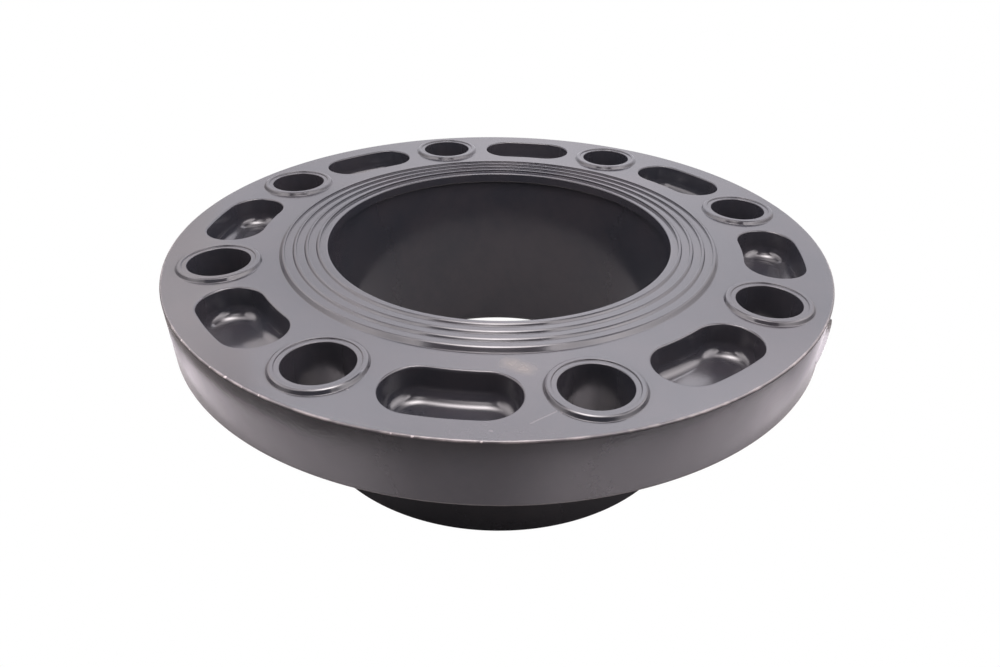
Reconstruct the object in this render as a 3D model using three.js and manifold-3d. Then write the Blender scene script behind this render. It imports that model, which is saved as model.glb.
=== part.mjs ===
// Full-face pipe flange, DN 150, in moulded dark grey PVC-U, millimetres, +Z up along the bore.
// It stands on its socket end: the origin is the centre of that end, the gasket face looks up.
import * as THREE from 'three';
import { mergeVertices } from 'three/addons/utils/BufferGeometryUtils.js';
import Module from 'manifold-3d';

const wasm = await Module();
wasm.setup();

// ---- driving dimensions, mm ----
const GAP = 0.3;                     // clearance between fitted pieces

const RIM_R = 142.5;                 // outside radius at the gasket face
const RIM_DRAFT = 0.4;               // how much smaller the rim is at the back face
const RIM_CHAMFER = 0.6;
const FACE_Z = 90.5;                 // gasket face above the socket end
const PLATE_T = 26.4;                // plate thickness
const BACK_Z = FACE_Z - PLATE_T;

const HUB_R = 92.5;                  // outside of the socket tube
const COLLAR_R = 96.4;               // shoulder of the hub that is let into the plate
const COLLAR_T = 18;
const SOCKET_R = 77.5;               // inside of the socket
const LIP_R = 75.8;                  // pipe stop at the gasket end
const LIP_T = 4.4;
const MOUTH_CHAMFER = 1.5;
const EDGE = 0.6;                    // small edge breaks on the hub
const SHELF_H = 0.9;                 // level of the pipe stop above the face

const RIDGE_COUNT = 4;
const RIDGE_IN_R = 79;               // inner wall of the innermost sealing ridge
const RIDGE_PITCH = 4.9;
const RIDGE_W = 0.95;                // from the inner wall to the crest
const RIDGE_H = 1.7;                 // outermost ridge above the face
const RIDGE_STEP = 0.1;              // each ridge stands this much higher than the one outside it
const GROOVE_DEPTH = 0.8;            // drop from a ridge into the groove inside it
const RIDGE_IN_LEAN = 0.2;           // how far the inner wall leans over its height
const RIDGE_OUT_SLOPE = 0.87;        // run of the outer wall for each mm it drops

const BOLT_COUNT = 8;
const BOLT_CIRCLE_R = 120;
const BOLT_START = Math.PI / BOLT_COUNT;   // the holes straddle both centre lines
const BOLT_STEP = 2 * Math.PI / BOLT_COUNT;
const BOLT_R = 12.6;

const BUSH_SHANK_R = 14.5;
const BUSH_HEAD_R = 17.3;
const BUSH_RECESS = 1.2;             // how deep the bush head is let into the face
const BUSH_LAND_H = 1;               // land round the hole, above the face
const BUSH_BEAD_H = 1.5;             // raised bead outside the land
const BUSH_BEAD_IN_R = 14.5;
const BUSH_BEAD_LEAN = 1.3;          // run of the bead's sloping outer wall
const BUSH_EDGE = 0.5;

const POCKET_HALF_W = 12.5;          // blind pockets: curved slots with round ends
const POCKET_HALF_LENGTH = 23.5;
const POCKET_R = 119.8;              // centre line of the pockets
const POCKET_DEPTH = 13.3;

const RING_SIDES = 96;
const HUB_SIDES = 72;
const BUSH_SIDES = 24;
const ARC_STEPS = 4;                 // pocket outline fineness
const CUT_CLEAR = 5;                 // how far a cutter runs past the face it opens

const pvc = { color: 0x515056, roughness: 0.42, metalness: 0 };

// ---- solids ----

// A closed (radius, height) outline, counter-clockwise, turned about +Z.
function turned(outline, sides) {
  const points = [...outline, outline[0]].map(([r, z]) => new THREE.Vector2(r, z));
  return new THREE.LatheGeometry(points, sides).rotateX(Math.PI / 2);
}

function toSolid(geometry) {
  const bare = geometry.clone();
  bare.deleteAttribute('normal');
  bare.deleteAttribute('uv');
  const merged = mergeVertices(bare, 1e-4);
  return new wasm.Manifold(new wasm.Mesh({
    numProp: 3,
    vertProperties: new Float32Array(merged.attributes.position.array),
    triVerts: new Uint32Array(merged.index.array),
  }));
}

function toGeometry(solid) {
  const mesh = solid.getMesh();
  const geometry = new THREE.BufferGeometry();
  geometry.setAttribute('position', new THREE.BufferAttribute(mesh.vertProperties, 3));
  geometry.setIndex(new THREE.BufferAttribute(mesh.triVerts, 1));
  return geometry;
}

// ---- flange ring: plate with a stepped bore, bolt holes and blind pockets ----

function ringBody() {
  const outerSeat = COLLAR_R + GAP;
  const innerSeat = HUB_R + GAP;
  const seatZ = FACE_Z - COLLAR_T - GAP;
  return turned([
    [innerSeat, BACK_Z],
    [RIM_R - RIM_DRAFT - RIM_CHAMFER, BACK_Z],
    [RIM_R - RIM_DRAFT, BACK_Z + RIM_CHAMFER],
    [RIM_R, FACE_Z - RIM_CHAMFER],
    [RIM_R - RIM_CHAMFER, FACE_Z],
    [outerSeat, FACE_Z],
    [outerSeat, seatZ],
    [innerSeat, seatZ],
  ], RING_SIDES);
}

function boltHoleCutter(angle) {
  const shank = BUSH_SHANK_R + GAP;
  const head = BUSH_HEAD_R + GAP;
  const recessZ = FACE_Z - BUSH_RECESS - GAP;
  return turned([
    [0, BACK_Z - CUT_CLEAR],
    [shank, BACK_Z - CUT_CLEAR],
    [shank, recessZ],
    [head, recessZ],
    [head, FACE_Z + CUT_CLEAR],
    [0, FACE_Z + CUT_CLEAR],
  ], BUSH_SIDES).translate(BOLT_CIRCLE_R, 0, 0).rotateZ(angle);
}

// Curved slot along the bolt circle with full round ends, centred on +X.
function pocketOutline() {
  const inner = POCKET_R - POCKET_HALF_W;
  const outer = POCKET_R + POCKET_HALF_W;
  const reach = (POCKET_HALF_LENGTH - POCKET_HALF_W) / POCKET_R;
  const endX = POCKET_R * Math.cos(reach);
  const endY = POCKET_R * Math.sin(reach);
  const shape = new THREE.Shape();
  shape.absarc(0, 0, outer, -reach, reach, false);
  shape.absarc(endX, endY, POCKET_HALF_W, reach, reach + Math.PI, false);
  shape.absarc(0, 0, inner, reach, -reach, true);
  shape.absarc(endX, -endY, POCKET_HALF_W, Math.PI - reach, 2 * Math.PI - reach, false);
  return shape;
}

function pocketCutter(angle) {
  const depth = POCKET_DEPTH + CUT_CLEAR;
  const options = { depth, bevelEnabled: false, curveSegments: ARC_STEPS };
  return new THREE.ExtrudeGeometry(pocketOutline(), options)
    .translate(0, 0, FACE_Z - POCKET_DEPTH)
    .rotateZ(angle);
}

function ringGeometry() {
  let solid = toSolid(ringBody());
  for (let i = 0; i < BOLT_COUNT; i++) {
    solid = solid.subtract(toSolid(boltHoleCutter(BOLT_START + i * BOLT_STEP)));
    solid = solid.subtract(toSolid(pocketCutter(i * BOLT_STEP)));
  }
  return toGeometry(solid);
}

// ---- socket hub: tube, shoulder and sealing ridges ----

// Ridge outline points from the outermost ridge inwards, climbing towards the bore.
function ridgeOutline() {
  const points = [];
  let foot = FACE_Z;
  for (let i = RIDGE_COUNT - 1; i >= 0; i--) {
    const inside = RIDGE_IN_R + i * RIDGE_PITCH;
    const crest = inside + RIDGE_W;
    const top = FACE_Z + RIDGE_H + (RIDGE_COUNT - 1 - i) * RIDGE_STEP;
    points.push([crest + RIDGE_OUT_SLOPE * (top - foot), foot]);
    points.push([crest, top]);
    points.push([inside + RIDGE_IN_LEAN, top]);
    foot = i > 0 ? top - GROOVE_DEPTH : FACE_Z + SHELF_H;
    points.push([inside, foot]);
  }
  return points;
}

function hubGeometry() {
  const shoulderZ = FACE_Z - COLLAR_T;
  const shelfZ = FACE_Z + SHELF_H;
  return turned([
    [SOCKET_R + MOUTH_CHAMFER / 2, 0],
    [HUB_R - EDGE, 0],
    [HUB_R, EDGE],
    [HUB_R, shoulderZ],
    [COLLAR_R, shoulderZ],
    [COLLAR_R, FACE_Z],
    ...ridgeOutline(),
    [LIP_R + EDGE, shelfZ],
    [LIP_R, shelfZ - EDGE],
    [LIP_R, shelfZ - LIP_T],
    [SOCKET_R, shelfZ - LIP_T],
    [SOCKET_R, MOUTH_CHAMFER],
  ], HUB_SIDES);
}

// ---- bolt bush: sleeve with a stepped head that stands proud of the face ----

function bushGeometry() {
  const bead = FACE_Z + BUSH_BEAD_H;
  const land = FACE_Z + BUSH_LAND_H;
  return turned([
    [BOLT_R, BACK_Z],
    [BUSH_SHANK_R, BACK_Z],
    [BUSH_SHANK_R, FACE_Z - BUSH_RECESS],
    [BUSH_HEAD_R, FACE_Z - BUSH_RECESS],
    [BUSH_HEAD_R, FACE_Z],
    [BUSH_HEAD_R - BUSH_BEAD_LEAN, bead],
    [BUSH_BEAD_IN_R, bead],
    [BUSH_BEAD_IN_R - BUSH_EDGE / 2, land],
    [BOLT_R + BUSH_EDGE, land],
    [BOLT_R, land - BUSH_EDGE],
  ], BUSH_SIDES);
}

// ---- assembly ----

const flange = new THREE.Group();

function addPiece(name, geometry) {
  const piece = new THREE.Mesh(geometry, new THREE.MeshStandardMaterial(pvc));
  piece.name = name;
  flange.add(piece);
  return piece;
}

addPiece('flange_ring', ringGeometry());
addPiece('socket_hub', hubGeometry());

for (let i = 0; i < BOLT_COUNT; i++) {
  const angle = BOLT_START + i * BOLT_STEP;
  const bush = addPiece(`bolt_bush_${i + 1}`, bushGeometry());
  bush.position.set(BOLT_CIRCLE_R * Math.cos(angle), BOLT_CIRCLE_R * Math.sin(angle), 0);
  bush.rotation.z = angle;
}

export default flange;
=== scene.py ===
"""Full-face pipe flange in moulded dark grey PVC-U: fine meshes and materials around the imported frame."""

import math

import bmesh
import bpy
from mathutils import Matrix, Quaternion, Vector


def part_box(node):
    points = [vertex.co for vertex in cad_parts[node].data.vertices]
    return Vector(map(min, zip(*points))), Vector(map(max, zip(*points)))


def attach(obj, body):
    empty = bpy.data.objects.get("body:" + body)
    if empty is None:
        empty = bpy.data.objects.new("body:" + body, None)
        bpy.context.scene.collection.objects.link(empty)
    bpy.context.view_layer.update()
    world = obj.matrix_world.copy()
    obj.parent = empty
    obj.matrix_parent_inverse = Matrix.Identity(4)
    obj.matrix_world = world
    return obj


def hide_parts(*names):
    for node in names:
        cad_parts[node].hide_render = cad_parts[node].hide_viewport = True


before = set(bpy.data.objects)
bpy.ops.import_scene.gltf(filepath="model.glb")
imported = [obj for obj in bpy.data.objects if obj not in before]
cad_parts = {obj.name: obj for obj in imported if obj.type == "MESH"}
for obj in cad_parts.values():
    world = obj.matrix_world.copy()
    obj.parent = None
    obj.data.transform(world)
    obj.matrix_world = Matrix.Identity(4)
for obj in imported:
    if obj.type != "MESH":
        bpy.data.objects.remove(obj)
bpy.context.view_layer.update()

MM = 0.001
BOLT_COUNT = 8

# ---- sizes taken from the frame, in millimetres ----
ring_low, ring_high = (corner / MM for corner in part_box("flange_ring"))
hub_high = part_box("socket_hub")[1] / MM
bush_low, bush_high = (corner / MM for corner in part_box("bolt_bush_1"))
bush_middle = (bush_low + bush_high) / 2

RIM_R = ring_high.x
FACE_Z = ring_high.z
BACK_Z = ring_low.z
COLLAR_R = hub_high.x
RIDGE_TOP_Z = hub_high.z
BEAD_TOP_Z = bush_high.z
BOLT_CIRCLE_R = math.hypot(bush_middle.x, bush_middle.y)
BOLT_STEP = 2 * math.pi / BOLT_COUNT
BOLT_START = BOLT_STEP / 2

# ---- sizes inside those boxes, in millimetres ----
SEAM = 0.3                # the frame's clearance, which the fine pieces close
RIM_DRAFT = 0.4           # the rim is this much smaller at the back
RIM_EDGE = 0.7            # rounding of the rim's edges
HUB_R = 92.5
COLLAR_T = 18
SOCKET_R = 77.5
LIP_R = 75.8
LIP_T = 4.4
SHELF_H = 0.9             # the pipe stop stands this high above the face
MOUTH_CHAMFER = 1.5
HUB_EDGE = 0.6            # fillets, here and below, unless noted
LIP_EDGE = 0.5
LIP_SLOPE = 0.6           # the stop's underside drops this much towards the socket's wall
SOCKET_EDGE = 0.3
MOUTH_EDGE = 0.2
CHAMFER_EDGE = 0.4

RIDGE_COUNT = 4
RIDGE_IN_R = 79
RIDGE_PITCH = 4.9
RIDGE_W = 0.95            # from the inner wall to the crest
RIDGE_STEP = 0.1          # each ridge stands this much higher than the one outside it
GROOVE_DEPTH = 0.8
RIDGE_LEAN_IN = 0.15
RIDGE_OUT_SLOPE = 0.87    # run of the outer wall for each millimetre it drops
FACET_RUN = 0.55          # the small slanting facet that breaks a crest, run and drop
FACET_DROP = 0.27
RIDGE_EDGE = 0.15
RIDGE_TOE = 0.3

BOLT_R = 12.6
SHANK_R = 14.5
HEAD_R = 17.3
BUSH_RECESS = 1.2
LAND_H = 1.0
LAND_EDGE = 0.35
LAND_TOE = 0.2
BEAD_IN_R = 14.5
BEAD_LEAN_IN = 0.15
BEAD_FACET_R = 16.4       # outer end of the facet on the bead
BEAD_FOOT_R = 17.2
BEAD_EDGE = 0.3
BEAD_TOE = 0.35
BUSH_EDGE = 0.3

POCKET_R = 119.8
POCKET_HALF_W = 12.5
POCKET_HALF_LENGTH = 23.5
POCKET_DEPTH = 13.3
POCKET_EDGE = 0.8
POCKET_DRAFT = 0.3        # the walls close in this much on the way down
POCKET_FILLET = 5.6
POCKET_DISH = 0.8         # the floor is this much deeper in its middle
POCKET_MIDDLE = 1         # half the width of the flat strip along that middle

GATE_ANGLE = math.radians(-22.6)      # the trimmed moulding gate on the rim
GATE_FACING = math.radians(-26.8)
GATE_Z = 80.6
GATE_R = 9
GATE_H = 0.15             # above the rim at its middle
GATE_ROOT = 5             # how deep it reaches into the rim
GATE_EDGE = 0.2
GATE_MIDDLE = 1           # radius of the middle of its flat face

SUPPORT = 0.35            # width of the flat band that keeps a fillet's shading off the flats
SUPPORT_ROOM = 2.2        # the band is left out where the straight isn't this many times as long
ARC_STEP = math.radians(13)
RING_SIDES = 384
BUSH_SIDES = 96
SLOT_CAP_STEPS = 28
SLOT_SIDE_STEPS = 12
SMOOTH_ANGLE = math.radians(34)

# ---- the plastic: colours, marks in millimetres, textures in cells for each metre ----
PVC_COOL = (0.0150, 0.0160, 0.0200, 1)
PVC_WARM = (0.0215, 0.0200, 0.0235, 1)
# pale colour of the wear marks and of the painted highlight along the rim's upper edge
PALE_WEAR_AND_HIGHLIGHT = (0.50, 0.44, 0.43, 1)
SMUDGE_TAN = (0.09, 0.075, 0.06, 1)
SHEEN = (0.12, 0.19)                  # least and most roughness of the clean surface
MARK_DULLNESS = 0.25                  # marks are this much rougher

SMUDGE = ((16.6, -100.6, 90.5), (22.6, -103.2, 90.5), 5.2)      # start, end, reach
SMUDGE_COVER = (0.35, 0.5)
# chips on the rim's edge: azimuth in degrees, size
CHIPS = ((-136.6, 0.7), (-133.5, 0.8), (-130.6, 0.6), (-124.6, 0.5), (-121.2, 0.8), (-117.6, 0.6),
         (-114.4, 0.7), (-95.3, 0.5), (-92.9, 0.6), (-84.7, 0.7))
# scratches on the face: start, end, reach; specks: x, y, size
SCRATCHES = (((26.8, -131.5), (34.1, -124.6), 0.4), ((-52.0, -127.0), (-45.0, -124.0), 0.35))
SPECKS = ((-32.6, -122.6, 0.8), (15.5, -136.9, 0.7), (35.4, -125.0, 0.7), (-56.5, -101.6, 0.8))
MARK_STRAY = 2                        # how far the outline of a mark wanders
RUB_AND_HIGHLIGHT_REACH = 0.8                       # the pale band along the rim's upper edge: partly rub wear, partly a painted highlight
RUB_AND_HIGHLIGHT_INSET = 0.2
RUB_AND_HIGHLIGHT_COVER = (0.12, 0.4)
BACK_RUB_REACH = 1.0                  # the band along the back edge
BACK_RUB_COVER = 0.35
WEAR_AND_HIGHLIGHT_STRENGTH = 0.6
SCUFF_STRENGTH = 0.07

STRAY_CELLS = 420
CLOUD_CELLS = 16
SHEEN_CELLS = 45
RUB_AND_HIGHLIGHT_CELLS = 140
SMUDGE_CELLS = 300
WAVE_CELLS = 60
GRAIN_CELLS = 900
GRAIN_SHARE = 0.3                     # height of the fine grain against the broad waves
BUMP_STRENGTH = 0.35
BUMP_HEIGHT = 0.12

# ---- the light tent and the backdrop, in metres ----
TINTS = {
    "back": (0.965, 0.935, 1.0),
    "left": (1.0, 0.93, 0.95),
    "right": (1.0, 0.935, 0.96),
    "top": (1.0, 0.93, 0.945),
}
TENT_HALF = 0.30
TENT_TOP = 0.60
WALL_STEPS = 12
TENT_MOUTH = -0.50        # the side walls reach this far forward
TENT = {                  # radiance, from the lowest (or the front) row up, each from -X (or the front)
    "back": ((1.18, 1.33, 1.2), (2.1, 3.7, 2.45), (4.8, 4.3, 6.2)),
    "left": ((0, 0, 0.5, 0.4), (0, 6.6, 5.1, 2.7), (7.0, 5.3, 2.5, 2.5)),
    "right": ((0, 0, 0.5, 1.0), (0, 8.0, 7.6, 2.6), (8.0, 6.0, 2.5, 1.2)),
    "top": ((0, 6.5, 0), (0.5, 3.0, 0.5), (7, 31, 7), (0.5, 2.5, 0.5), (0.3, 4, 0)),
}
BACKDROP_R = 4

# ---- the table under the flange, in millimetres ----
TURNTABLE_R = 225
TURNTABLE_AT = (8, -8)
TURNTABLE_H = 20
TURNTABLE_SIDES = 128
TURNTABLE_WHITE = (0.76, 0.735, 0.765, 1)
TURNTABLE_SHADE = (0.40, 0.39, 0.41, 1)
SHADES = ((0, -240, 0), (-240, 30, 0), (256, 20, 0))      # spots where shade is painted into the turntable's colour
SHADE_REACH = 95
# painted shade: a grey sheet on the turntable under the flange, standing in for the flange's shadow
SHADE_SHEET_R = 196
SHADE_SHEET_SIDES = 96
SHADE_SHEET_GREY = (0.34, 0.33, 0.33, 1)
TABLE_HALF = 600
TABLE_FRONT = -310
TABLE_GREY = (0.15, 0.14, 0.13, 1)
STAGE_DULLNESS = 0.9      # roughness of the shade sheet and the turntable
TABLE_DULLNESS = 0.8
SHADE_SHEET_DROP = 0.1            # small drops that keep the surfaces apart
TURNTABLE_DROP = 0.3

# ---- the view ----
CAMERA_AT = Vector((39.56, -306.36, 232.60)) * MM
CAMERA_AIM = Vector((5.763, 0.634, 37.493)) * MM
CAMERA_ROLL = math.radians(-1.144)
LENS = 26.886
SHIFT_X = -0.01076
SHIFT_Y = 0.001
NEAR_CLIP = 0.01


# ================================================================ outlines

def rounded(corners, closed=True):
    """(radius, height) points of an outline whose corners, (r, z, fillet), are replaced by arcs.
    Each arc is flanked by a short straight support."""
    points = []
    count = len(corners)
    for i, (r, z, fillet) in enumerate(corners):
        here = Vector((r, z))
        at_end = not closed and i in (0, count - 1)
        if fillet == 0 or at_end:
            points.append(here)
            continue
        before = Vector(corners[i - 1][:2]) - here
        after = Vector(corners[(i + 1) % count][:2]) - here
        points += fillet_points(here, before, after, fillet)
    return [(p.x, p.y) for p in points]


def fillet_points(here, before, after, fillet):
    """The arc that replaces one corner, with its supports. before and after lead to the neighbours."""
    turn = math.pi - before.angle(after)
    reach = fillet * math.tan(turn / 2)
    start = here + before.normalized() * reach
    end = here + after.normalized() * reach
    inward = (before.normalized() + after.normalized()).normalized()
    centre = here + inward * (fillet / math.cos(turn / 2))
    steps = max(2, math.ceil(turn / ARC_STEP))
    arc = []
    for k in range(steps + 1):
        from_start, from_end = math.sin(turn * (1 - k / steps)), math.sin(turn * k / steps)
        arm = ((start - centre) * from_start + (end - centre) * from_end) / math.sin(turn)
        arc.append(centre + arm)
    lead_in = here + before.normalized() * (reach + SUPPORT)
    lead_out = here + after.normalized() * (reach + SUPPORT)
    room_in = before.length > SUPPORT_ROOM * (reach + SUPPORT)
    room_out = after.length > SUPPORT_ROOM * (reach + SUPPORT)
    return [lead_in] * room_in + arc + [lead_out] * room_out


# ================================================================ mesh building

def ring_of(bm, radius, height, sides, middle=(0, 0)):
    """One closed loop of vertices on a level circle."""
    loop = []
    for k in range(sides):
        turn = 2 * math.pi * k / sides
        x = middle[0] + radius * math.cos(turn)
        y = middle[1] + radius * math.sin(turn)
        loop.append(bm.verts.new(Vector((x, y, height)) * MM))
    return loop


def slot_of(bm, half_width, height, angle):
    """One closed loop on a curved slot with round ends, its middle on the pocket circle."""
    reach = (POCKET_HALF_LENGTH - POCKET_HALF_W) / POCKET_R
    points = []
    for side in (1, -1):
        arc_r = POCKET_R + side * half_width
        for k in range(SLOT_SIDE_STEPS):
            turn = side * reach * (2 * k / SLOT_SIDE_STEPS - 1)
            points.append((arc_r * math.cos(turn), arc_r * math.sin(turn)))
        end = Vector((POCKET_R * math.cos(reach), side * POCKET_R * math.sin(reach)))
        first = side * reach + (0 if side == 1 else math.pi)
        for k in range(SLOT_CAP_STEPS):
            turn = first + math.pi * k / SLOT_CAP_STEPS
            points.append((end.x + half_width * math.cos(turn), end.y + half_width * math.sin(turn)))
    cos, sin = math.cos(angle), math.sin(angle)
    return [bm.verts.new(Vector((x * cos - y * sin, x * sin + y * cos, height)) * MM) for x, y in points]


def bridge(bm, loops, closed=False):
    """Quads between neighbouring loops of the same length."""
    pairs = list(zip(loops, loops[1:]))
    if closed:
        pairs.append((loops[-1], loops[0]))
    for a, b in pairs:
        for k in range(len(a)):
            j = (k + 1) % len(a)
            bm.faces.new((a[k], a[j], b[j], b[k]))


def loop_edges(bm, loop):
    return [bm.edges.get((loop[k - 1], loop[k])) for k in range(len(loop))]


def fill_level(bm, *loops):
    """Flat fill between level loops: the first is the outer one, the others are holes."""
    edges = [edge for loop in loops for edge in loop_edges(bm, loop)]
    bmesh.ops.triangle_fill(bm, use_beauty=True, use_dissolve=False, edges=edges)


def turned(bm, outline, sides, middle=(0, 0)):
    """Loops of an outline turned about a vertical axis."""
    return [ring_of(bm, r, z, sides, middle) for r, z in outline]


def finished(bm, name, material, *replaced):
    """Turns a bmesh into a shaded piece that rides on the flange."""
    bmesh.ops.recalc_face_normals(bm, faces=bm.faces)
    mesh = bpy.data.meshes.new(name)
    bm.to_mesh(mesh)
    bm.free()
    mesh.polygons.foreach_set("use_smooth", [True] * len(mesh.polygons))
    mesh.set_sharp_from_angle(angle=SMOOTH_ANGLE)
    mesh.materials.append(material)
    piece = bpy.data.objects.new(name, mesh)
    bpy.context.scene.collection.objects.link(piece)
    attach(piece, "root")
    if replaced:
        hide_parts(*replaced)
    return piece


# ================================================================ pieces

def pocket_outline():
    """(inset, height) points from the flat face down the wall to the floor."""
    floor_z = FACE_Z - POCKET_DEPTH
    corners = [
        (-POCKET_EDGE - SUPPORT, FACE_Z, 0),
        (0, FACE_Z, POCKET_EDGE),
        (POCKET_DRAFT, floor_z + POCKET_DISH, POCKET_FILLET),
        (POCKET_HALF_W - POCKET_MIDDLE, floor_z, 0),
    ]
    return rounded(corners, closed=False)


def add_pocket(bm, angle):
    """A blind pocket. Returns its loop on the face."""
    loops = [slot_of(bm, POCKET_HALF_W - inset, z, angle) for inset, z in pocket_outline()]
    bridge(bm, loops)
    fill_level(bm, loops[-1])
    return loops[0]


def add_bolt_hole(bm, angle):
    """A stepped hole that takes a bush. Returns its loops on the face and on the back."""
    middle = (BOLT_CIRCLE_R * math.cos(angle), BOLT_CIRCLE_R * math.sin(angle))
    recess_z = FACE_Z - BUSH_RECESS - SEAM
    outline = [
        (HEAD_R + SEAM, FACE_Z),
        (HEAD_R + SEAM, recess_z),
        (SHANK_R + SEAM, recess_z),
        (SHANK_R + SEAM, BACK_Z),
    ]
    loops = turned(bm, outline, BUSH_SIDES, middle)
    bridge(bm, loops)
    return loops[0], loops[-1]


def rim_outline():
    corners = [
        (RIM_R - RIM_EDGE - SUPPORT, FACE_Z, 0),
        (RIM_R, FACE_Z, RIM_EDGE),
        (RIM_R - RIM_DRAFT, BACK_Z, RIM_EDGE),
        (RIM_R - RIM_DRAFT - RIM_EDGE - SUPPORT, BACK_Z, 0),
    ]
    return rounded(corners, closed=False)


def make_flange_ring(material):
    bm = bmesh.new()
    rim = turned(bm, rim_outline(), RING_SIDES)
    bridge(bm, rim)
    seat_z = FACE_Z - COLLAR_T - SEAM
    bore = turned(bm, [
        (COLLAR_R + SEAM, FACE_Z),
        (COLLAR_R + SEAM, seat_z),
        (HUB_R + SEAM, seat_z),
        (HUB_R + SEAM, BACK_Z),
    ], RING_SIDES)
    bridge(bm, bore)
    on_face, on_back = [rim[0], bore[0]], [rim[-1], bore[-1]]
    for k in range(BOLT_COUNT):
        top, bottom = add_bolt_hole(bm, BOLT_START + k * BOLT_STEP)
        on_face += [top, add_pocket(bm, k * BOLT_STEP)]
        on_back.append(bottom)
    fill_level(bm, *on_face)
    fill_level(bm, *on_back)
    return finished(bm, "flange_plate", material, "flange_ring")


def ridge_corners():
    """The sealing ridges from the outermost to the innermost, climbing towards the bore."""
    corners = []
    foot = FACE_Z
    for k in reversed(range(RIDGE_COUNT)):
        inside = RIDGE_IN_R + k * RIDGE_PITCH
        crest = inside + RIDGE_W
        top = RIDGE_TOP_Z - k * RIDGE_STEP
        corners += [
            (crest + RIDGE_OUT_SLOPE * (top - foot), foot, RIDGE_TOE),
            (crest + RIDGE_OUT_SLOPE * FACET_DROP, top - FACET_DROP, RIDGE_EDGE),
            (crest + RIDGE_OUT_SLOPE * FACET_DROP - FACET_RUN, top, RIDGE_EDGE),
            (inside + RIDGE_LEAN_IN, top, RIDGE_EDGE),
        ]
        foot = top - GROOVE_DEPTH if k > 0 else FACE_Z + SHELF_H
        corners.append((inside, foot, RIDGE_TOE / 2))
    return corners


def make_socket_hub(material):
    shoulder_z = FACE_Z - COLLAR_T
    shelf_z = FACE_Z + SHELF_H
    corners = [
        (SOCKET_R + MOUTH_CHAMFER / 2, 0, MOUTH_EDGE),
        (HUB_R, 0, HUB_EDGE),
        (HUB_R + SEAM, shoulder_z - SEAM, 0),
        (COLLAR_R + SEAM, shoulder_z - SEAM, 0),
        (COLLAR_R + SEAM, FACE_Z, 0),
        *ridge_corners(),
        (LIP_R, shelf_z, HUB_EDGE),
        (LIP_R, shelf_z - LIP_T, LIP_EDGE),
        (SOCKET_R, shelf_z - LIP_T - LIP_SLOPE, SOCKET_EDGE),
        (SOCKET_R, MOUTH_CHAMFER, CHAMFER_EDGE),
    ]
    bm = bmesh.new()
    bridge(bm, turned(bm, rounded(corners), RING_SIDES), closed=True)
    return finished(bm, "socket_and_ridges", material, "socket_hub")


def make_bolt_bush(number, material):
    angle = BOLT_START + (number - 1) * BOLT_STEP
    middle = (BOLT_CIRCLE_R * math.cos(angle), BOLT_CIRCLE_R * math.sin(angle))
    recess_z = FACE_Z - BUSH_RECESS - SEAM
    land_z = FACE_Z + LAND_H
    corners = [
        (BOLT_R, BACK_Z, BUSH_EDGE),
        (SHANK_R + SEAM, BACK_Z, 0),
        (SHANK_R + SEAM, recess_z, 0),
        (HEAD_R + SEAM, recess_z, 0),
        (HEAD_R + SEAM, FACE_Z, 0),
        (BEAD_FOOT_R, FACE_Z, BEAD_TOE),
        (BEAD_FACET_R, BEAD_TOP_Z - FACET_DROP, BEAD_EDGE),
        (BEAD_FACET_R - FACET_RUN, BEAD_TOP_Z, BEAD_EDGE),
        (BEAD_IN_R + BEAD_LEAN_IN, BEAD_TOP_Z, BEAD_EDGE),
        (BEAD_IN_R, land_z, LAND_TOE),
        (BOLT_R, land_z, LAND_EDGE),
    ]
    bm = bmesh.new()
    bridge(bm, turned(bm, rounded(corners), BUSH_SIDES, middle), closed=True)
    return finished(bm, f"bolt_collar_{number}", material, f"bolt_bush_{number}")


def make_gate_pad(material):
    """The trimmed stub of the moulding gate: a flat round pad that stands a little askew on the rim."""
    spot = Vector((RIM_R * math.cos(GATE_ANGLE), RIM_R * math.sin(GATE_ANGLE), GATE_Z))
    out = Vector((math.cos(GATE_FACING), math.sin(GATE_FACING), 0))
    side, up = Vector((-out.y, out.x, 0)), Vector((0, 0, 1))
    outline = ((GATE_R, -GATE_ROOT), (GATE_R, GATE_H - GATE_EDGE),
               (GATE_R - GATE_EDGE, GATE_H), (GATE_MIDDLE, GATE_H))
    bm = bmesh.new()
    loops = []
    for radius, height in outline:
        loop = []
        for k in range(BUSH_SIDES):
            turn = 2 * math.pi * k / BUSH_SIDES
            arm = side * math.cos(turn) + up * math.sin(turn)
            loop.append(bm.verts.new((spot + out * height + arm * radius) * MM))
        loops.append(loop)
    bridge(bm, loops)
    bm.faces.new(loops[-1])
    bm.faces.new(loops[0])
    return finished(bm, "gate_pad", material, "flange_ring")


# ================================================================ materials

def math_node(tree, operation, *values):
    """A math node. Each value is a number or the output that feeds it."""
    node = tree.nodes.new("ShaderNodeMath")
    node.operation = operation
    for socket, value in zip(node.inputs, values):
        feed(tree, socket, value)
    return node.outputs["Value"]


def vector_node(tree, operation, *values):
    """The same for vectors. Some operations give a number."""
    node = tree.nodes.new("ShaderNodeVectorMath")
    node.operation = operation
    for socket, value in zip(node.inputs, values):
        feed(tree, socket, value)
    return node.outputs["Value" if operation in ("DISTANCE", "LENGTH", "DOT_PRODUCT") else "Vector"]


def feed(tree, socket, value):
    if isinstance(value, bpy.types.NodeSocket):
        tree.links.new(value, socket)
    else:
        socket.default_value = value


def noise(tree, where, cells, detail=2.0, roughness=0.5, output="Fac"):
    node = tree.nodes.new("ShaderNodeTexNoise")
    node.inputs["Scale"].default_value = cells
    node.inputs["Detail"].default_value = detail
    node.inputs["Roughness"].default_value = roughness
    tree.links.new(where, node.inputs["Vector"])
    return node.outputs[output]


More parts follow.
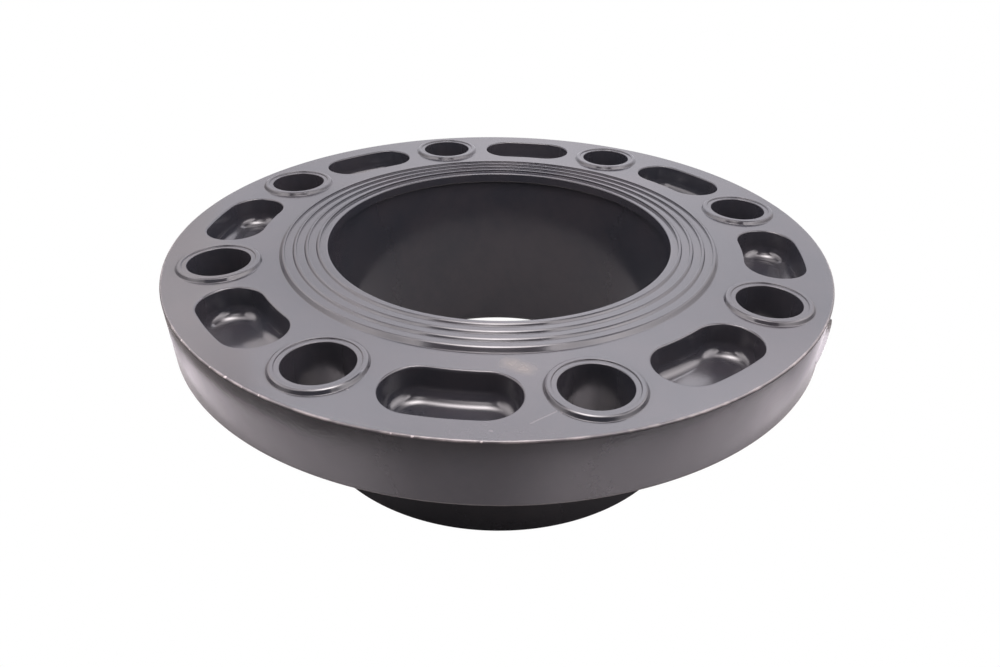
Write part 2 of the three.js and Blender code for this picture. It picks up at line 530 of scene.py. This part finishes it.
def remap(tree, value, low, high, to_low=0.0, to_high=1.0):
    """Smooth step of a value from one span to another."""
    node = tree.nodes.new("ShaderNodeMapRange")
    node.interpolation_type = "SMOOTHSTEP"
    for name, number in zip(("From Min", "From Max", "To Min", "To Max"), (low, high, to_low, to_high)):
        node.inputs[name].default_value = number
    tree.links.new(value, node.inputs["Value"])
    return node.outputs["Result"]


def patches(tree, where, cells, cover=(0.0, 1.0), span=(0.3, 0.7), detail=3.0, roughness=0.5):
    """Soft patches: the noise's span becomes the least and the most cover."""
    return remap(tree, noise(tree, where, cells, detail, roughness), *span, *cover)


def blend(tree, factor, first, second):
    """A colour between two colours."""
    node = tree.nodes.new("ShaderNodeMix")
    node.data_type = "RGBA"
    share, colour_a, colour_b = node.inputs[0], node.inputs[6], node.inputs[7]
    for socket, value in ((share, factor), (colour_a, first), (colour_b, second)):
        feed(tree, socket, value)
    return node.outputs[2]


def near_circle(tree, where, radius, height, reach, core=0.3):
    """1 on a level circle round the bore axis, falling to 0 at the given reach, all in millimetres."""
    apart = tree.nodes.new("ShaderNodeSeparateXYZ")
    tree.links.new(where, apart.inputs["Vector"])
    flat = vector_node(tree, "LENGTH", vector_node(tree, "MULTIPLY", where, (1, 1, 0)))
    across = math_node(tree, "SUBTRACT", flat, radius * MM)
    along = math_node(tree, "SUBTRACT", apart.outputs["Z"], height * MM)
    squares = [math_node(tree, "MULTIPLY", offset, offset) for offset in (across, along)]
    away = math_node(tree, "SQRT", math_node(tree, "ADD", *squares))
    return remap(tree, away, reach * MM, core * reach * MM)


def near_line(tree, where, start, end, reach, core=0.4):
    """1 along a straight mark between two points, in millimetres."""
    start, end = Vector(start) * MM, Vector(end) * MM
    span = end - start
    offset = vector_node(tree, "SUBTRACT", where, tuple(start))
    projected = vector_node(tree, "DOT_PRODUCT", offset, tuple(span))
    along = math_node(tree, "DIVIDE", projected, span.length_squared)
    clamped = math_node(tree, "MINIMUM", math_node(tree, "MAXIMUM", along, 0.0), 1.0)
    scaled = tree.nodes.new("ShaderNodeVectorMath")
    scaled.operation = "SCALE"
    scaled.inputs[0].default_value = tuple(span)
    tree.links.new(clamped, scaled.inputs["Scale"])
    away = vector_node(tree, "DISTANCE", offset, scaled.outputs["Vector"])
    return remap(tree, away, reach * MM, core * reach * MM)


def near_point(tree, where, point, reach, core=0.35):
    """1 at a point, in millimetres."""
    away = vector_node(tree, "DISTANCE", where, tuple(Vector(point) * MM))
    return remap(tree, away, reach * MM, core * reach * MM)


def strongest(tree, masks):
    total = masks[0]
    for mask in masks[1:]:
        total = math_node(tree, "MAXIMUM", total, mask)
    return total


def times(tree, first, second):
    return math_node(tree, "MULTIPLY", first, second)


# ================================================================ the plastic

def strayed(tree, where):
    """Coordinates that wander a little, so that the outline of a mark is ragged."""
    colour = noise(tree, where, STRAY_CELLS, output="Color")
    centred = vector_node(tree, "SUBTRACT", colour, (0.5, 0.5, 0.5))
    stray = vector_node(tree, "MULTIPLY", centred, (MARK_STRAY * MM,) * 3)
    return vector_node(tree, "ADD", where, stray)


def edge_wear_and_highlight(tree, where, ragged):
    """Pale rub marks and small chips along the rim. The band along the upper edge is partly wear and partly
    a painted highlight.
    """
    top_edge = near_circle(tree, where, RIM_R - RUB_AND_HIGHLIGHT_INSET, FACE_Z - RUB_AND_HIGHLIGHT_INSET, RUB_AND_HIGHLIGHT_REACH)
    rub_and_highlight = times(tree, top_edge, patches(tree, where, RUB_AND_HIGHLIGHT_CELLS, RUB_AND_HIGHLIGHT_COVER, span=(0.42, 0.7)))
    back_edge = near_circle(tree, where, RIM_R - RIM_DRAFT, BACK_Z, BACK_RUB_REACH)
    masks = [rub_and_highlight, times(tree, back_edge, BACK_RUB_COVER)]
    for azimuth, size in CHIPS:
        turn = math.radians(azimuth)
        at = (RIM_R * math.cos(turn), RIM_R * math.sin(turn), FACE_Z)
        masks.append(near_point(tree, ragged, at, size))
    return strongest(tree, masks)


def scuffs(tree, where, ragged):
    """Thin scratches and specks on the gasket face."""
    masks = []
    for start, end, reach in SCRATCHES:
        masks.append(near_line(tree, where, (*start, FACE_Z), (*end, FACE_Z), reach))
    for x, y, size in SPECKS:
        masks.append(near_point(tree, ragged, (x, y, FACE_Z), size))
    return times(tree, strongest(tree, masks), SCUFF_STRENGTH)


def grained_normal(tree, where):
    """Broad shallow waves with a fine grain on them."""
    grain = times(tree, noise(tree, where, GRAIN_CELLS, 3.0), GRAIN_SHARE)
    bump = tree.nodes.new("ShaderNodeBump")
    bump.inputs["Strength"].default_value = BUMP_STRENGTH
    bump.inputs["Distance"].default_value = BUMP_HEIGHT * MM
    height = math_node(tree, "ADD", noise(tree, where, WAVE_CELLS, 3.0), grain)
    tree.links.new(height, bump.inputs["Height"])
    return bump.outputs["Normal"]


def pvc_material():
    material = bpy.data.materials.new("moulded_pvc")
    material.use_nodes = True
    tree = material.node_tree
    shader = tree.nodes["Principled BSDF"]
    where = tree.nodes.new("ShaderNodeTexCoord").outputs["Object"]
    ragged = strayed(tree, where)
    wear_and_highlight = strongest(tree, [edge_wear_and_highlight(tree, where, ragged), scuffs(tree, where, ragged)])
    smudge = times(tree, near_line(tree, ragged, *SMUDGE, core=0),
                   patches(tree, where, SMUDGE_CELLS, SMUDGE_COVER))

    cloud = patches(tree, where, CLOUD_CELLS, span=(0.35, 0.65), detail=9.0, roughness=0.75)
    body = blend(tree, cloud, PVC_COOL, PVC_WARM)
    body = blend(tree, smudge, body, SMUDGE_TAN)
    # the pale blend paints wear marks and, along the rim's upper edge, a painted highlight
    body = blend(tree, times(tree, wear_and_highlight, WEAR_AND_HIGHLIGHT_STRENGTH), body, PALE_WEAR_AND_HIGHLIGHT)
    tree.links.new(body, shader.inputs["Base Color"])

    sheen = patches(tree, where, SHEEN_CELLS, SHEEN, detail=5.0, roughness=0.65)
    dull = times(tree, math_node(tree, "MAXIMUM", wear_and_highlight, smudge), MARK_DULLNESS)
    tree.links.new(math_node(tree, "ADD", sheen, dull), shader.inputs["Roughness"])
    tree.links.new(grained_normal(tree, where), shader.inputs["Normal"])
    return material


# ================================================================ stage

def plain_material(name, colour, roughness):
    material = bpy.data.materials.new(name)
    material.use_nodes = True
    shader = material.node_tree.nodes["Principled BSDF"]
    shader.inputs["Base Color"].default_value = colour
    shader.inputs["Roughness"].default_value = roughness
    return material


def glow_material(name, tint=(1, 1, 1)):
    """A material that only glows. Returns it with its emission node."""
    material = bpy.data.materials.new(name)
    material.use_nodes = True
    nodes, links = material.node_tree.nodes, material.node_tree.links
    nodes.remove(nodes["Principled BSDF"])
    glow = nodes.new("ShaderNodeEmission")
    glow.inputs["Color"].default_value = (*tint, 1)
    links.new(glow.outputs["Emission"], nodes["Material Output"].inputs["Surface"])
    return material, glow


def turntable_material():
    material = plain_material("turntable_white", TURNTABLE_WHITE, STAGE_DULLNESS)
    tree = material.node_tree
    where = tree.nodes.new("ShaderNodeTexCoord").outputs["Object"]
    # painted shade: the turntable's colour darkens round these spots
    shade = strongest(tree, [near_point(tree, where, point, SHADE_REACH) for point in SHADES])
    colour = blend(tree, shade, TURNTABLE_WHITE, TURNTABLE_SHADE)
    tree.links.new(colour, tree.nodes["Principled BSDF"].inputs["Base Color"])
    return material


def stage_piece(bm, name, material):
    mesh = bpy.data.meshes.new(name)
    bm.to_mesh(mesh)
    bm.free()
    mesh.materials.append(material)
    piece = bpy.data.objects.new(name, mesh)
    bpy.context.scene.collection.objects.link(piece)
    return piece


def make_shade_sheet():
    """A grey sheet on the turntable under the flange: painted shade, standing in for the flange's shadow
    there.
    """
    bm = bmesh.new()
    bm.faces.new(ring_of(bm, SHADE_SHEET_R, -SHADE_SHEET_DROP, SHADE_SHEET_SIDES))
    return stage_piece(bm, "shade_sheet", plain_material("shade_sheet_grey", SHADE_SHEET_GREY, STAGE_DULLNESS))


def make_turntable():
    bm = bmesh.new()
    heights = (-TURNTABLE_DROP, -TURNTABLE_DROP - TURNTABLE_H)
    rim = [ring_of(bm, TURNTABLE_R, z, TURNTABLE_SIDES, TURNTABLE_AT) for z in heights]
    bridge(bm, rim)
    bm.faces.new(rim[0])
    return stage_piece(bm, "turntable", turntable_material())


def make_table():
    bm = bmesh.new()
    corners = ((-TABLE_HALF, TABLE_FRONT), (TABLE_HALF, TABLE_FRONT),
               (TABLE_HALF, TABLE_HALF), (-TABLE_HALF, TABLE_HALF))
    z = -TURNTABLE_DROP - TURNTABLE_H
    bm.faces.new([bm.verts.new(Vector((x, y, z)) * MM) for x, y in corners])
    return stage_piece(bm, "table", plain_material("table_grey", TABLE_GREY, TABLE_DULLNESS))


def make_floor():
    """What the flange stands on. The camera doesn't see it, but it lights the flange from below. The grey
    sheet under the flange and the turntable's darker patches are painted shade.
    """
    for piece in (make_shade_sheet(), make_turntable(), make_table()):
        piece.visible_camera = False


def make_backdrop():
    """A white sweep that only the camera sees."""
    bm = bmesh.new()
    bmesh.ops.create_icosphere(bm, subdivisions=3, radius=BACKDROP_R)
    sweep = stage_piece(bm, "backdrop", glow_material("backdrop_white")[0])
    sweep.visible_diffuse = sweep.visible_glossy = False
    sweep.visible_transmission = sweep.visible_volume_scatter = sweep.visible_shadow = False


def tent_glow(rows, across, along):
    """Radiance at a place on a wall, 0 to 1 each way, blended between the values in the rows."""
    spots = []
    for place, count in ((across, len(rows[0])), (along, len(rows))):
        step = min(max(place * count - 0.5, 0), count - 1)
        whole = min(int(step), count - 2)
        spots.append((whole, step - whole))
    (i, u), (j, v) = spots
    low = rows[j][i] * (1 - u) + rows[j][i + 1] * u
    high = rows[j + 1][i] * (1 - u) + rows[j + 1][i + 1] * u
    return low * (1 - v) + high * v


def tent_material(name):
    """A glow that follows the wall's own values."""
    material, glow = glow_material("tent_" + name, TINTS[name])
    strength = material.node_tree.nodes.new("ShaderNodeAttribute")
    strength.attribute_name = "glow"
    material.node_tree.links.new(strength.outputs["Fac"], glow.inputs["Strength"])
    return material


def make_tent_wall(name, corner, across, along):
    """A glowing wall that lights the flange but isn't seen by the camera."""
    bm = bmesh.new()
    layer = bm.verts.layers.float.new("glow")
    grid = []
    for j in range(WALL_STEPS + 1):
        line = []
        for i in range(WALL_STEPS + 1):
            u, v = i / WALL_STEPS, j / WALL_STEPS
            vert = bm.verts.new(Vector(corner) + Vector(across) * u + Vector(along) * v)
            vert[layer] = tent_glow(TENT[name], u, v)
            line.append(vert)
        grid.append(line)
    for low, high in zip(grid, grid[1:]):
        for i in range(WALL_STEPS):
            bm.faces.new((low[i], low[i + 1], high[i + 1], high[i]))
    wall = stage_piece(bm, "tent_" + name, tent_material(name))
    wall.visible_camera = False


def make_tent():
    """A light tent, open at the front."""
    width, depth, height = (2 * TENT_HALF, 0, 0), (0, TENT_HALF - TENT_MOUTH, 0), (0, 0, TENT_TOP)
    make_tent_wall("back", (-TENT_HALF, TENT_HALF, 0), width, height)
    make_tent_wall("left", (-TENT_HALF, TENT_MOUTH, 0), depth, height)
    make_tent_wall("right", (TENT_HALF, TENT_MOUTH, 0), depth, height)
    make_tent_wall("top", (-TENT_HALF, TENT_MOUTH, TENT_TOP), width, depth)


def make_surroundings():
    """A dark room round the tent."""
    world = bpy.data.worlds.new("room")
    bpy.context.scene.world = world
    world.use_nodes = True
    world.node_tree.nodes["Background"].inputs["Color"].default_value = (0, 0, 0, 1)


def make_camera():
    data = bpy.data.cameras.new("camera")
    data.lens = LENS
    data.shift_x, data.shift_y = SHIFT_X, SHIFT_Y
    data.clip_start = NEAR_CLIP
    camera = bpy.data.objects.new("camera", data)
    camera.location = CAMERA_AT
    look = (CAMERA_AIM - CAMERA_AT).to_track_quat("-Z", "Y")
    camera.rotation_mode = "QUATERNION"
    camera.rotation_quaternion = look @ Quaternion((0, 0, -1), CAMERA_ROLL)
    bpy.context.scene.collection.objects.link(camera)
    bpy.context.scene.camera = camera


# ================================================================ build

pvc = pvc_material()
make_flange_ring(pvc)
make_socket_hub(pvc)
for number in range(1, BOLT_COUNT + 1):
    make_bolt_bush(number, pvc)
make_gate_pad(pvc)

make_floor()
make_backdrop()
make_surroundings()
make_tent()
make_camera()
bpy.context.scene.view_settings.view_transform = "Standard"
